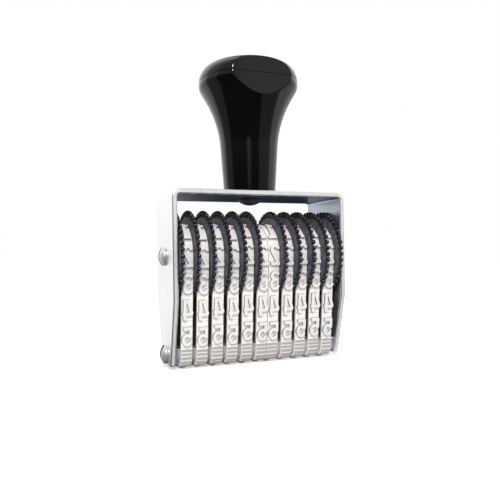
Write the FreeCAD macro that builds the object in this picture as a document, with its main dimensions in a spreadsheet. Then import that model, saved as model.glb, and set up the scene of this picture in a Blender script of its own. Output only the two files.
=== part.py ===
# A hand-set numbering stamp: eleven rubber number bands on thumb wheels, held in a
# bent steel frame under a turned handle. Units are millimetres. X runs across the
# bands, Y from the front to the back, Z up; the printing faces lie on Z = 0.
import FreeCAD, Part
import math
import os

import Sketcher
from FreeCAD import Vector

doc = FreeCAD.newDocument("numbering_stamp")
sheet = doc.addObject("Spreadsheet::Sheet", "sizes")

# Driving dimensions: alias, value and what it measures
SIZES = [
    # wheels and bands
    ("band_count", 11, "number bands, one to a wheel"),
    ("left_count", 6, "wheels with their thumb disc on the left of the band"),
    ("disc_thickness", 0.85, "thumb disc"),
    ("drum_length", 3.0, "drum that carries the band"),
    ("running_play", 0.05, "side play between neighbouring wheels"),
    ("end_play", 0.25, "side play between the stack and a side plate"),
    ("tooth_count", 44, "thumb teeth round a disc"),
    ("disc_radius", 11.6, "thumb disc, over the teeth"),
    ("tooth_depth", 0.75, "thumb tooth, crest to root"),
    ("drum_radius", 6.85, "drum, over its corners"),
    ("drum_flats", 12, "flats that grip the band"),
    ("bore_clearance", 0.05, "wheel bore round the axle"),
    ("axle_radius", 2.0, "axle"),
    # rubber bands
    ("band_width", 2.85, "rubber band"),
    ("band_thickness", 0.9, "band without its type"),
    ("band_seat", 0.05, "band's inside below the platen"),
    ("band_slack", 0.15, "band's inside above the drum's corners"),
    ("type_relief", 0.7, "raised character above the band"),
    ("type_length", 5.0, "raised character, along the band"),
    ("type_pitch", 6.4, "from one character to the next"),
    ("blank_length", 5.5, "ribbed blank, along the band"),
    ("rib_count", 6, "ribs on the blank"),
    ("rib_height", 0.25, "rib above the band"),
    ("rib_gap", 0.4, "space between two ribs"),
    ("front_characters", 5, "characters above the ribbed blank"),
    ("arc_sag", 0.01, "a bow under this is a straight line"),
    # platen bar
    ("platen_depth", 9.0, "platen bar, front to back"),
    ("platen_height", 3.6, "platen bar"),
    ("platen_corner", 1.8, "rounded lower edges that the bands run round"),
    ("platen_bevel", 0.3, "bevel on its upper edges"),
    ("web_thickness", 1.0, "upright web along the middle of the bar"),
    ("web_gap", 0.6, "web's edge to the discs' crests"),
    # frame
    ("sheet_thickness", 1.3, "steel strip"),
    ("frame_depth", 18.6, "steel strip's width"),
    ("wheel_headroom", 3.2, "discs' crests to the top plate"),
    ("foot_rise", 1.0, "side plates' feet above the printing faces"),
    ("bend_radius", 0.7, "inside of the two bends"),
    ("foot_width", 9.6, "side plate at its foot"),
    ("taper_height", 16.2, "where a side plate starts to narrow"),
    ("axle_height", 27.7, "axle above the printing faces"),
    # screws
    ("screw_radius", 1.25, "side screw, thread"),
    ("screw_reach", 5.0, "side screw, into the axle or the platen"),
    ("screw_head_radius", 2.35, "side screw, head"),
    ("screw_head_height", 1.45, "side screw, head"),
    ("screw_head_bevel", 0.7, "bevel round a screw's head"),
    ("thread_clearance", 0.05, "screw in its tapped hole"),
    ("hole_clearance", 0.15, "screw in its through hole"),
    ("tap_extra", 1.0, "tapped hole beyond the screw's end"),
    ("handle_screw_radius", 2.0, "handle screw, thread"),
    ("handle_screw_reach", 8.0, "handle screw, into the handle"),
    ("handle_screw_head", 3.0, "handle screw, head radius"),
    ("handle_screw_head_height", 1.7, "handle screw, head"),
    # handle
    ("foot_inset", 0.8, "handle's foot inside the top of its neck"),
    ("neck_height", 12.0, "straight neck of the handle"),
    ("neck_inset", 5.5, "top of the neck inside the knob's edge"),
    ("flare_inset", 1.58, "end of the flare inside the knob's edge"),
    ("flare_bulge", 28.7, "curve of the flare"),
    ("skirt_rise", 2.05, "knob's straight underside above the flare"),
    ("skirt_height", 26.95, "end of that underside"),
    ("skirt_inset", 0.38, "inside the knob's edge there"),
    ("rim_band", 0.75, "upright rim under the seam"),
    ("knob_radius", 13.0, "knob at its widest"),
    ("knob_edge", 4.5, "rounding from the seam to the dome"),
    ("dome_radius", 30.0, "curve of the cap's top"),
    ("flat_inset", 2.62, "flat on the knob's front inside its edge, at the seam"),
    ("flat_lean", 0.66, "flat's lean to the back over a height of the knob's radius"),
    ("plug_radius", 4.0, "cap's plug in the handle"),
    ("plug_depth", 5.0, "cap's plug"),
    ("plug_fit", 0.1, "plug in its socket"),
    ("insert_flat", 3.6, "threaded insert, axis to flat"),
    ("insert_length", 10.0, "threaded insert"),
]

COUNTS = (
    "band_count",
    "left_count",
    "tooth_count",
    "drum_flats",
    "rib_count",
    "front_characters",
)

for row, (alias, value, note) in enumerate(SIZES, start=1):
    sheet.set(f"A{row}", alias)
    sheet.set(f"B{row}", str(value))
    sheet.set(f"C{row}", note)
    sheet.setAlias(f"B{row}", alias)
doc.recompute()


def size(alias):
    """A driving dimension, read from the sheet; counts come back whole."""
    value = float(sheet.get(alias))
    return round(value) if alias in COUNTS else value


# Sizes that follow from others, as formulas in the same sheet
FOLLOWING = [
    ("wheel_pitch", "disc_thickness + drum_length + running_play"),
    ("stack_length", "band_count * wheel_pitch - running_play"),
    ("inner_width", "stack_length + 2 * end_play"),
    ("frame_width", "inner_width + 2 * sheet_thickness"),
    ("frame_top", "axle_height + disc_radius + wheel_headroom + sheet_thickness"),
    ("bore_radius", "axle_radius + bore_clearance"),
    ("platen_z", "type_relief + band_thickness + band_seat + platen_height / 2"),
    ("loop_radius", "drum_radius + band_slack"),
    ("tap_radius", "screw_radius + thread_clearance"),
    ("tap_depth", "screw_reach + tap_extra"),
    ("side_hole_radius", "screw_radius + hole_clearance"),
    ("top_hole_radius", "handle_screw_radius + hole_clearance"),
    ("insert_bore_radius", "handle_screw_radius + thread_clearance"),
    ("neck_radius", "knob_radius - neck_inset"),
    ("handle_foot_radius", "neck_radius - foot_inset"),
    ("flare_radius", "knob_radius - flare_inset"),
    ("flare_height", "skirt_height - skirt_rise"),
    ("skirt_radius", "knob_radius - skirt_inset"),
    ("web_top", "axle_height - disc_radius - web_gap"),
]

for row, (alias, formula) in enumerate(FOLLOWING, start=len(SIZES) + 1):
    sheet.set(f"A{row}", alias)
    sheet.set(f"B{row}", "=" + formula)
    sheet.setAlias(f"B{row}", alias)
    doc.recompute()

TOUCH = 1e-6


def new_body(label):
    """An empty body under its own name."""
    body = doc.addObject("PartDesign::Body", label)
    body.Label = label
    return body


def new_sketch(body, role, offset=None):
    """A sketch on one of the body's own planes, moved along its normal by an expression."""
    sketch = body.newObject("Sketcher::SketchObject", body.Name + "_sketch")
    plane = [item for item in body.Origin.OriginFeatures if item.Role == role][0]
    sketch.AttachmentSupport = (plane, [""])
    sketch.MapMode = "FlatFace"
    if offset is not None:
        sketch.setExpression("AttachmentOffset.Base.z", offset)
    return sketch


def add_outline(sketch, points):
    """A closed outline through points; three points in a tuple of three make an arc."""
    edges = []
    for start, end in zip(points, points[1:] + points[:1]):
        first = start[-1] if isinstance(start, tuple) else start
        last = end[0] if isinstance(end, tuple) else end
        if isinstance(start, tuple):
            edges.append(Part.Arc(*start))
        if (last - first).Length > TOUCH:
            edges.append(Part.LineSegment(first, last))
    sketch.addGeometry(edges, False)


def add_circle(sketch, radius, x=0.0, y=0.0):
    """A circle whose radius follows an expression."""
    index = sketch.addGeometry(Part.Circle(Vector(x, y, 0), Vector(0, 0, 1), 1.0), False)
    constraint = sketch.addConstraint(Sketcher.Constraint("Radius", index, 1.0))
    sketch.setExpression(f"Constraints[{constraint}]", radius)


def add_feature(body, kind, sketch, length=None, symmetric=False, back=False):
    """A pad or pocket of an expression's length; with no length a pocket goes right through."""
    feature = body.newObject("PartDesign::" + kind, body.Name + "_" + kind.lower())
    feature.Profile = sketch
    if length is None:
        feature.Type = "ThroughAll"
    else:
        feature.setExpression("Length", length)
    feature.SideType = "Symmetric" if symmetric else "One side"
    feature.Reversed = back
    return feature


def revolve(body, sketch, axis="V_Axis"):
    """A full turn of a sketch about its own vertical or horizontal axis."""
    feature = body.newObject("PartDesign::Revolution", body.Name + "_revolution")
    feature.Profile = sketch
    feature.ReferenceAxis = (sketch, [axis])
    feature.Angle = 360
    return feature


def arc_through(start, end, radius, side):
    """Three points of an arc of a radius between two points, bulging to a side of +1 or -1."""
    chord = end - start
    middle = (start + end) * 0.5
    across = Vector(-chord.y, chord.x, 0).normalize() * side
    rise = radius - math.sqrt(radius**2 - (chord.Length / 2) ** 2)
    return (start, middle + across * rise, end)


def corner(center, radius, start, end):
    """Three points of an arc round a centre, between two angles in degrees."""
    angles = [math.radians(angle) for angle in (start, (start + end) / 2, end)]
    return tuple(center + Vector(math.cos(a), math.sin(a), 0) * radius for a in angles)


def place(body, x=0.0, y=0.0, z=0.0, axis=Vector(0, 0, 1), angle=0.0):
    """Puts a body where it belongs."""
    body.Placement = FreeCAD.Placement(Vector(x, y, z), FreeCAD.Rotation(axis, angle))


def group(label, bodies):
    """Like pieces under one name, as separate solids."""
    compound = doc.addObject("Part::Compound", label)
    compound.Label = label
    compound.Links = bodies
    return compound


# Steel frame


def make_frame():
    """A strip bent to a U: top plate and two side plates that narrow towards their feet."""
    body = new_body("frame")
    half = size("frame_width") / 2
    wall = size("sheet_thickness")
    top = size("frame_top")
    foot = size("foot_rise")
    inner = size("bend_radius")
    outer = inner + wall
    bend = Vector(half - outer, top - outer, 0)
    mirror = Vector(-bend.x, bend.y, 0)
    profile = new_sketch(body, "XZ_Plane")
    add_outline(
        profile,
        [
            Vector(half, foot, 0),
            corner(bend, outer, 0, 90),
            corner(mirror, outer, 90, 180),
            Vector(-half, foot, 0),
            Vector(wall - half, foot, 0),
            corner(mirror, inner, 180, 90),
            corner(bend, inner, 90, 0),
            Vector(half - wall, foot, 0),
        ],
    )
    add_feature(body, "Pad", profile, "sizes.frame_depth", symmetric=True)

    edge = size("frame_depth") / 2
    heel = size("foot_width") / 2
    taper_top = foot + size("taper_height")
    for side in (-1, 1):
        taper = new_sketch(body, "YZ_Plane")
        add_outline(
            taper,
            [
                Vector(side * edge, taper_top, 0),
                Vector(side * heel, foot, 0),
                Vector(side * heel, 0, 0),
                Vector(side * (edge + wall), 0, 0),
                Vector(side * (edge + wall), taper_top, 0),
            ],
        )
        add_feature(body, "Pocket", taper, symmetric=True)

    side_holes = new_sketch(body, "YZ_Plane")
    add_circle(side_holes, "sizes.side_hole_radius", y=size("axle_height"))
    add_circle(side_holes, "sizes.side_hole_radius", y=size("platen_z"))
    add_feature(body, "Pocket", side_holes, symmetric=True)

    top_hole = new_sketch(body, "XY_Plane")
    add_circle(top_hole, "sizes.top_hole_radius")
    add_feature(body, "Pocket", top_hole, symmetric=True)
    return body


# Axle and platen bar


def add_taps(body, height):
    """A tapped hole in each end of a bar that spans the frame."""
    for side in (1, -1):
        mouth = new_sketch(body, "YZ_Plane", f"{side} * sizes.inner_width / 2")
        add_circle(mouth, "sizes.tap_radius", y=height)
        add_feature(body, "Pocket", mouth, "sizes.tap_depth", back=side < 0)


def make_axle():
    """The rod that the wheels turn on."""
    body = new_body("axle")
    section = new_sketch(body, "YZ_Plane")
    add_circle(section, "sizes.axle_radius", y=size("axle_height"))
    add_feature(body, "Pad", section, "sizes.inner_width", symmetric=True)
    add_taps(body, size("axle_height"))
    return body


def make_platen():
    """The bar that backs the bands where they print, rounded where they run round it.

    A thin web stands on it inside the loops, up to just below the thumb discs.
    """
    body = new_body("platen")
    depth = size("platen_depth") / 2
    bottom = size("platen_z") - size("platen_height") / 2
    top = bottom + size("platen_height")
    radius = size("platen_corner")
    bevel = size("platen_bevel")
    web = size("web_thickness") / 2
    web_top = size("web_top")
    section = new_sketch(body, "YZ_Plane")
    add_outline(
        section,
        [
            corner(Vector(depth - radius, bottom + radius, 0), radius, -90, 0),
            Vector(depth, top - bevel, 0),
            Vector(depth - bevel, top, 0),
            Vector(web, top, 0),
            Vector(web, web_top, 0),
            Vector(-web, web_top, 0),
            Vector(-web, top, 0),
            Vector(bevel - depth, top, 0),
            Vector(-depth, top - bevel, 0),
            corner(Vector(radius - depth, bottom + radius, 0), radius, 180, 270),
        ],
    )
    add_feature(body, "Pad", section, "sizes.inner_width", symmetric=True)
    add_taps(body, size("platen_z"))
    return body


# Screws


def add_screw(label, thread, reach, head, height):
    """A screw along +X, its head's underside on the origin's plane."""
    body = new_body(label)
    profile = new_sketch(body, "XZ_Plane")
    add_outline(
        profile,
        [
            Vector(-height, 0, 0),
            Vector(-height, head - size("screw_head_bevel"), 0),
            Vector(size("screw_head_bevel") - height, head, 0),
            Vector(0, head, 0),
            Vector(0, thread, 0),
            Vector(reach, thread, 0),
            Vector(reach, 0, 0),
        ],
    )
    revolve(body, profile, "H_Axis")
    return body


def make_side_screws(label, height):
    """The pair of screws that holds a bar between the side plates."""
    screws = []
    for side in (-1, 1):
        body = add_screw(
            f"{label}_{'left' if side < 0 else 'right'}",
            size("screw_radius"),
            size("screw_reach") + size("sheet_thickness"),
            size("screw_head_radius"),
            size("screw_head_height"),
        )
        place(body, x=side * size("frame_width") / 2, z=height, angle=0 if side < 0 else 180)
        screws.append(body)
    return group(label, screws)


def make_handle_screw():
    """The screw that comes up through the top plate into the handle."""
    body = add_screw(
        "handle_screw",
        size("handle_screw_radius"),
        size("handle_screw_reach") + size("sheet_thickness"),
        size("handle_screw_head"),
        size("handle_screw_head_height"),
    )
    underside = size("frame_top") - size("sheet_thickness")
    place(body, z=underside, axis=Vector(0, 1, 0), angle=-90)
    return body


# Handle


def knob_rim():
    """The rim's arc, from the slope of the knob's underside to upright: centre, radius, lean."""
    run = size("skirt_radius") - size("flare_radius")
    lean = math.atan2(run, size("skirt_height") - size("flare_height"))
    radius = (size("knob_radius") - size("skirt_radius")) / (1 - math.cos(lean))
    top = size("skirt_height") + radius * math.sin(lean)
    return Vector(size("knob_radius") - radius, top, 0), radius, math.degrees(lean)


def seam_height():
    """Where the cap meets the handle, above the handle's foot."""
    return knob_rim()[0].y + size("rim_band")


def make_handle():
    """The turned handle: neck, flare and the lower half of the knob."""
    body = new_body("handle")
    seam = seam_height()
    rim_center, rim_radius, lean = knob_rim()
    socket = size("plug_radius") + size("plug_fit")
    floor = seam - size("plug_depth") - size("plug_fit")
    neck = Vector(size("neck_radius"), size("neck_height"), 0)
    flare = Vector(size("flare_radius"), size("flare_height"), 0)
    profile = new_sketch(body, "XZ_Plane")
    add_outline(
        profile,
        [
            Vector(0, 0, 0),
            Vector(size("handle_foot_radius"), 0, 0),
            arc_through(neck, flare, size("flare_bulge"), 1),
            corner(rim_center, rim_radius, -lean, 0),
            Vector(size("knob_radius"), seam, 0),
            Vector(socket, seam, 0),
            Vector(socket, floor, 0),
            Vector(0, floor, 0),
        ],
    )
    revolve(body, profile)
    add_flat(body)
    hole = new_sketch(body, "XY_Plane")
    add_outline(hole, hexagon(size("insert_flat")))
    add_feature(body, "Pocket", hole, "sizes.insert_length", back=True)
    place(body, z=size("frame_top"))
    return body


def add_flat(body):
    """Cuts the flat that shows by touch which side of the knob is the stamp's front."""
    seam = seam_height()
    slope = size("flat_lean") / size("knob_radius")
    near = size("knob_radius") - size("flat_inset")
    low = size("neck_height")
    high = seam + 2 * size("knob_edge")
    outside = -2 * size("knob_radius")
    cut = new_sketch(body, "YZ_Plane")
    add_outline(
        cut,
        [
            Vector(-near - slope * (seam - low), low, 0),
            Vector(-near + slope * (high - seam), high, 0),
            Vector(outside, high, 0),
            Vector(outside, low, 0),
        ],
    )
    add_feature(body, "Pocket", cut, symmetric=True)


def hexagon(flat):
    """The corners of a hexagon whose flats lie at a distance from its centre."""
    reach = flat / math.cos(math.pi / 6)
    turns = [math.pi / 3 * number for number in range(6)]
    return [Vector(math.cos(turn), math.sin(turn), 0) * reach for turn in turns]


def make_cap():
    """The domed cap that closes the knob, with its plug in the handle's socket."""
    body = new_body("handle_cap")
    seam = seam_height()
    knob = size("knob_radius")
    edge = size("knob_edge")
    dome = size("dome_radius")
    edge_center = Vector(knob - edge, seam, 0)
    rise = math.sqrt((dome - edge) ** 2 - (knob - edge) ** 2)
    dome_center = Vector(0, edge_center.y - rise, 0)
    lean = math.degrees(math.atan2(rise, knob - edge))
    plug = size("plug_radius")
    foot = seam - size("plug_depth")
    profile = new_sketch(body, "XZ_Plane")
    add_outline(
        profile,
        [
            Vector(0, foot, 0),
            Vector(plug, foot, 0),
            Vector(plug, seam, 0),
            Vector(knob, seam, 0),
            corner(edge_center, edge, 0, lean),
            corner(dome_center, dome, lean, 90),
        ],
    )
    revolve(body, profile)
    add_flat(body)
    place(body, z=size("frame_top"))
    return body


def make_insert():
    """The hexagonal threaded insert moulded into the handle's foot."""
    body = new_body("handle_insert")
    section = new_sketch(body, "XY_Plane")
    add_outline(section, hexagon(size("insert_flat")))
    add_circle(section, "sizes.insert_bore_radius")
    add_feature(body, "Pad", section, "sizes.insert_length")
    place(body, z=size("frame_top"))
    return body


# Thumb wheels


def toothed_outline():
    """The thumb disc's edge: a crest and a root for each tooth."""
    step = 2 * math.pi / size("tooth_count")
    crest = size("disc_radius")
    root = crest - size("tooth_depth")
    points = []
    for number in range(size("tooth_count")):
        for turn, radius in ((number, crest), (number + 0.5, root)):
            points.append(Vector(math.cos(turn * step), math.sin(turn * step), 0) * radius)
    return points


def make_wheel(number):
    """One moulding: a toothed thumb disc beside the flat-sided drum that drives the band."""
    body = new_body(f"wheel_{number:02d}")
    disc_first = number <= size("left_count")
    disc = new_sketch(body, "YZ_Plane", "0" if disc_first else "sizes.drum_length")
    add_outline(disc, toothed_outline())
    add_feature(body, "Pad", disc, "sizes.disc_thickness")
    drum = new_sketch(body, "YZ_Plane", "sizes.disc_thickness" if disc_first else "0")
    flats = size("drum_flats")
    turns = [2 * math.pi * count / flats for count in range(flats)]
    add_outline(drum, [Vector(math.cos(a), math.sin(a), 0) * size("drum_radius") for a in turns])
    add_feature(body, "Pad", drum, "sizes.drum_length")
    bore = new_sketch(body, "YZ_Plane")
    add_circle(bore, "sizes.bore_radius")
    add_feature(body, "Pocket", bore, symmetric=True)
    place(body, x=wheel_left(number), z=size("axle_height"))
    return body


def wheel_left(number):
    """Where a wheel's left face lies."""
    return (number - 1) * size("wheel_pitch") - size("stack_length") / 2


# Rubber bands


class Loop:
    """The band's way round drum and platen, by its length from the middle of the platen.

    Lengths run along the middle of the rubber, up the front first; offsets are measured
    outwards from the band's inside. Places are (Y, Z).
    """

    def __init__(self):
        self.drum = Vector(0, size("axle_height"), 0)
        corner_radius = size("platen_corner")
        bottom = size("platen_z") - size("platen_height") / 2
        self.lower = Vector(corner_radius - size("platen_depth") / 2, bottom + corner_radius, 0)
        self.small = corner_radius + size("band_seat")
        self.large = size("loop_radius")
        self.middle = size("band_thickness") / 2
        way = self.drum - self.lower
        lean = math.atan2(way.x, way.y)
        self.slope = math.asin((self.large - self.small) / way.Length) - lean
        self.flat = -self.lower.x
        self.turn = math.pi / 2 - self.slope
        self.bend = (self.small + self.middle) * self.turn
        self.run = math.sqrt(way.Length**2 - (self.large - self.small) ** 2)
        self.crown = (self.large + self.middle) * (math.pi / 2 + self.slope)
        self.half = self.flat + self.bend + self.run + self.crown
        self.length = 2 * self.half

    def at(self, along, offset):
        """The place at a length along the band and an offset from its inside, and its normal."""
        along = (along + self.half) % self.length - self.half
        side = -1 if along < 0 else 1
        left = abs(along)
        if left <= self.flat:
            center, radius, angle = Vector(-left, self.lower.y, 0), self.small, -math.pi / 2
        elif left <= self.flat + self.bend:
            angle = -math.pi / 2 - (left - self.flat) / (self.small + self.middle)
            center, radius = self.lower, self.small
        elif left <= self.flat + self.bend + self.run:
            share = (left - self.flat - self.bend) / self.run
            angle = -math.pi + self.slope
            center = self.lower + (self.drum - self.lower) * share
            radius = self.small + (self.large - self.small) * share
        else:
            beyond = left - self.flat - self.bend - self.run
            angle = -math.pi + self.slope - beyond / (self.large + self.middle)
            center, radius = self.drum, self.large
        normal = Vector(math.cos(angle), math.sin(angle), 0)
        spot = center + normal * (radius + offset)
        return Vector(side * spot.x, spot.y, 0), Vector(side * normal.x, normal.y, 0)

    def inside(self):
        """The closed inside line: three arcs, joined by straight runs."""
        bend_end = self.flat + self.bend
        crown_start = bend_end + self.run
        arcs = []
        for start, end in (
            (self.flat, bend_end),
            (crown_start, self.length - crown_start),
            (-bend_end, -self.flat),
        ):
            arcs.append(tuple(self.at(along, 0)[0] for along in (start, (start + end) / 2, end)))
        return arcs

    def raised(self):
        """Every raised thing on the band, in order: where it is, its half length, its height."""
        pitch = size("type_pitch")
        half = size("type_length") / 2
        relief = size("type_relief")
        things = [(0.0, half, relief)]
        rib_pitch = size("blank_length") / size("rib_count")
        rib_half = (rib_pitch - size("rib_gap")) / 2
        for count in range(size("rib_count")):
            along = pitch / 2 + rib_pitch * (count + 0.5)
            things.append((along, rib_half, size("rib_height")))
        first = pitch + size("blank_length")
        free = self.length - first - pitch / 2
        fronts = size("front_characters")
        rears = int((free - fronts * pitch) / pitch + 0.5)
        things += [(first + pitch * count, half, relief) for count in range(fronts)]
        things += [(self.length - pitch * count, half, relief) for count in range(rears, 0, -1)]
        return things

    def outside(self):
        """The closed outside line, with a flat block for each raised thing."""
        surface = size("band_thickness")
        corners = []
        for along, half, height in self.raised():
            spot, normal = self.at(along, surface + height)
            forward = Vector(normal.y, -normal.x, 0)
            start = self.at(along - half, surface)[0]
            end = self.at(along + half, surface)[0]
            corners.append((along, half, [start, spot - forward * half, spot + forward * half, end]))
        points = []
        for (along, half, block), following in zip(corners, corners[1:] + corners[:1]):
            points += block[:-1]
            start, end = along + half, following[0] - following[1]
            if end < start:
                end += self.length
            middle = self.at((start + end) / 2, surface)[0]
            chord_middle = (block[-1] + following[2][0]) * 0.5
            curved = (middle - chord_middle).Length > size("arc_sag")
            points.append((block[-1], middle, following[2][0]) if curved else block[-1])
        return points


def make_band(number, loop):
    """One rubber band: a smooth inside, and blocks of raised type round its outside."""
    body = new_body(f"band_{number:02d}")
    section = new_sketch(body, "YZ_Plane")
    add_outline(section, loop.inside())
    add_outline(section, loop.outside())
    add_feature(body, "Pad", section, "sizes.band_width", symmetric=True)
    disc_side = size("disc_thickness") if number <= size("left_count") else 0
    place(body, x=wheel_left(number) + disc_side + size("drum_length") / 2)
    return body


loop = Loop()
nodes = [
    make_frame(),
    make_axle(),
    make_platen(),
    make_side_screws("axle_screws", size("axle_height")),
    make_side_screws("platen_screws", size("platen_z")),
    make_handle(),
    make_cap(),
    make_insert(),
    make_handle_screw(),
]
nodes += [make_band(number, loop) for number in range(1, size("band_count") + 1)]
nodes += [make_wheel(number) for number in range(1, size("band_count") + 1)]
doc.recompute()

# Nothing is written unless every object computed and every piece is sound
for item in doc.Objects:
    if "Invalid" in item.State or "Error" in item.State:
        raise RuntimeError(f"{item.Label} did not compute: {item.State}")
for item in nodes:
    if item.Shape.isNull() or not item.Shape.isValid():
        raise RuntimeError(f"{item.Label} is not a sound solid")

os.makedirs("parts", exist_ok=True)
for item in nodes:
    item.Shape.exportStep(f"parts/{item.Label}.step")

rears = len(loop.raised()) - size("rib_count") - size("front_characters") - 1
print(f"{len(nodes)} nodes, frame {size('frame_width'):.2f} wide, top at {size('frame_top'):.2f}")
print(f"band loop {loop.length:.2f} long, {rears} characters behind the printing one")
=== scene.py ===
# %% [markdown]
# # A numbering stamp with eleven rubber bands
# The object is a hand stamp. A chromed steel strip is bent to a U and holds an axle, and on
# the axle sit eleven thumb wheels. Each wheel pulls one rubber band of raised numerals round
# a platen bar at the bottom, where the stamp prints. A black turned handle stands on top.
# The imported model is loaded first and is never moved: it is the ruler for all that follows.

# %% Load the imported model
import math

import bmesh
import bpy
from mathutils import Matrix, Vector
from mathutils.geometry import delaunay_2d_cdt


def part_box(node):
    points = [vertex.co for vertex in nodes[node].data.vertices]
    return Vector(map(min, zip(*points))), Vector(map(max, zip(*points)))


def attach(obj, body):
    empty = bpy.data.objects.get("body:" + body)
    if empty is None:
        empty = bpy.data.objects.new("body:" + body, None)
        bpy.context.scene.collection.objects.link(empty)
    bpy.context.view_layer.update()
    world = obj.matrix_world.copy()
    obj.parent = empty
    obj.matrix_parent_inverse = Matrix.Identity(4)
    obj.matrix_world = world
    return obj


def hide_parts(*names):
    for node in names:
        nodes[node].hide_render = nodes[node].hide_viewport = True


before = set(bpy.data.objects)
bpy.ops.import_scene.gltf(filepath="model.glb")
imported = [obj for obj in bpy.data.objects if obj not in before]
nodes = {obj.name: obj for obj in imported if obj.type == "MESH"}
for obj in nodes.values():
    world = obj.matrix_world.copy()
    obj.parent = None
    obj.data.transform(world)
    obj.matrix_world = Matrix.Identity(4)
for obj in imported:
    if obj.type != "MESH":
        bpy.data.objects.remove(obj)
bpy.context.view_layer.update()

MM = 0.001

# %% [markdown]
# ## Camera
# The photograph was taken from the left, a little above the middle of the stamp and almost
# level. A camera's focal length can be given in pixels: it is how far away a thing must be
# for its size to be the same in pixels as in millimetres. These numbers came from matching
# known corners of the frame with their places in the photograph.

# %% Camera
PHOTO_PIXELS = 500
FOCAL_PIXELS = 550.3
camera_data = bpy.data.cameras.new("photo_view")
camera_data.sensor_width = 36
camera_data.lens = camera_data.sensor_width * FOCAL_PIXELS / PHOTO_PIXELS
camera_data.clip_start = 1 * MM
camera_data.clip_end = 20
camera = bpy.data.objects.new("photo_view", camera_data)
bpy.context.collection.objects.link(camera)
CAMERA_PLACE = Vector((-51.78, -135.82, 27.77)) * MM
yaw, pitch, roll = (math.radians(angle) for angle in (20.81, 0.51, -0.92))
camera.matrix_world = (
    Matrix.Translation(CAMERA_PLACE)
    @ Matrix.Rotation(-yaw, 4, "Z")
    @ Matrix.Rotation(math.pi / 2 + pitch, 4, "X")
    @ Matrix.Rotation(roll, 4, "Z")
)
bpy.context.scene.camera = camera
print("lens in mm", round(camera_data.lens, 2))

# %% [markdown]
# ## Nodes
# Materials, the studio and several pieces are node trees. One small function adds a node,
# sets its options and fills its sockets: a value is set, another node's output is linked.
# Two more do maths with nodes. Colours are written as on the screen and made linear in one
# place, because shaders calculate with amounts of light.


# %% Node and colour helpers
def node(tree, kind, values=None, **options):
    """Adds a node. values fills inputs by name or number with a value or an output."""
    made = tree.nodes.new(kind)
    for option, setting in options.items():
        setattr(made, option, setting)
    for name, value in (values or {}).items():
        if isinstance(value, bpy.types.NodeSocket):
            tree.links.new(value, made.inputs[name])
        else:
            made.inputs[name].default_value = value
    return made


def number(tree, operation, *amounts):
    """Plain maths."""
    return node(tree, "ShaderNodeMath", dict(enumerate(amounts)), operation=operation).outputs[0]


def vector(tree, operation, *amounts):
    """Vector maths; SCALE takes a number as its second amount, DOT_PRODUCT gives one."""
    sockets = (0, "Scale") if operation == "SCALE" else (0, 1)
    made = node(tree, "ShaderNodeVectorMath", dict(zip(sockets, amounts)), operation=operation)
    return made.outputs["Value" if operation == "DOT_PRODUCT" else "Vector"]


def linear(code):
    """A screen colour such as 'E9E5E2' as the amounts of light a shader takes."""
    parts = [int(code[start:start + 2], 16) / 255 for start in (0, 2, 4)]
    light = [p / 12.92 if p <= 0.04045 else ((p + 0.055) / 1.055) ** 2.4 for p in parts]
    return (*light, 1.0)


print("wiped rubber is", [round(v, 3) for v in linear("E9E5E2")])

# %% [markdown]
# ## Studio
# Polished metal and polished black plastic show their surroundings, so the surroundings are
# part of the picture. The photograph's reflections tell of a grey wall and table on the left
# that turn white behind the stamp, a grey ceiling, two more walls on the right, and a dark
# room with one small lit window where the camera stands. A shader can paint these by
# direction: the dot product of two directions is the cosine of the angle between them, so a
# soft step on it makes a round patch. Walls and table share one function, which looks only
# at the compass direction. White in these reflections is the same white that the camera sees
# behind the stamp. What lights the stamp is a simpler room: a ceiling lamp's wide patch and
# a white wall on the left, over dim walls.


# %% World
def soft_step(tree, value, low, high, top=1.0):
    """Goes smoothly from 0 at low to top at high."""
    return node(
        tree,
        "ShaderNodeMapRange",
        {"Value": value, "From Min": low, "From Max": high, "To Min": 0.0, "To Max": top},
        interpolation_type="SMOOTHSTEP",
    ).outputs["Result"]


def sine(degrees):
    """The sine of an angle in degrees."""
    return math.sin(math.radians(degrees))


def patch(tree, direction, toward, reach, softness, strength):
    """Light within an angle of a direction, all angles in degrees."""
    along = vector(tree, "DOT_PRODUCT", direction, Vector(toward).normalized())
    return soft_step(tree, along, sine(90 - reach - softness), sine(90 - reach), strength)


def sum_of(tree, first, *others):
    """Adds several amounts."""
    for other in others:
        first = number(tree, "ADD", first, other)
    return first


def walls(tree, direction, front, right):
    """How bright walls and table are by compass, given the front and the right wall."""
    compass = vector(tree, "NORMALIZE", vector(tree, "MULTIPLY", direction, (1, 1, 0)))
    return sum_of(
        tree,
        front,
        patch(tree, compass, (-0.67, 0.74, 0), 41, 5, 0.28 - front),  # grey, on the left
        patch(tree, compass, (-0.36, 0.93, 0), 24, 9, 0.72),  # with it white, behind
        patch(tree, compass, (0.80, -0.60, 0), 31, 4, right - front),  # right, in front
        patch(tree, compass, (0.97, 0.25, 0), 28, 10, 2.6 * right),  # right, behind
    )


def white(tree, kind, strength):
    """White light from a node of this kind, a world's Background or a surface's Emission."""
    return node(tree, kind, {"Color": linear("FFFFFF"), "Strength": strength}).outputs[0]


def by_ray(tree, plain, mirrored, seen):
    """One look for what lights things, one for what they mirror, one for the camera."""
    rays = node(tree, "ShaderNodeLightPath").outputs
    either = number(tree, "MAXIMUM", rays["Is Glossy Ray"], rays["Is Transmission Ray"])
    mix = node(tree, "ShaderNodeMixShader", {0: either, 1: plain, 2: mirrored}).outputs[0]
    camera_ray = rays["Is Camera Ray"]
    return node(tree, "ShaderNodeMixShader", {0: camera_ray, 1: mix, 2: seen}).outputs[0]


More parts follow.
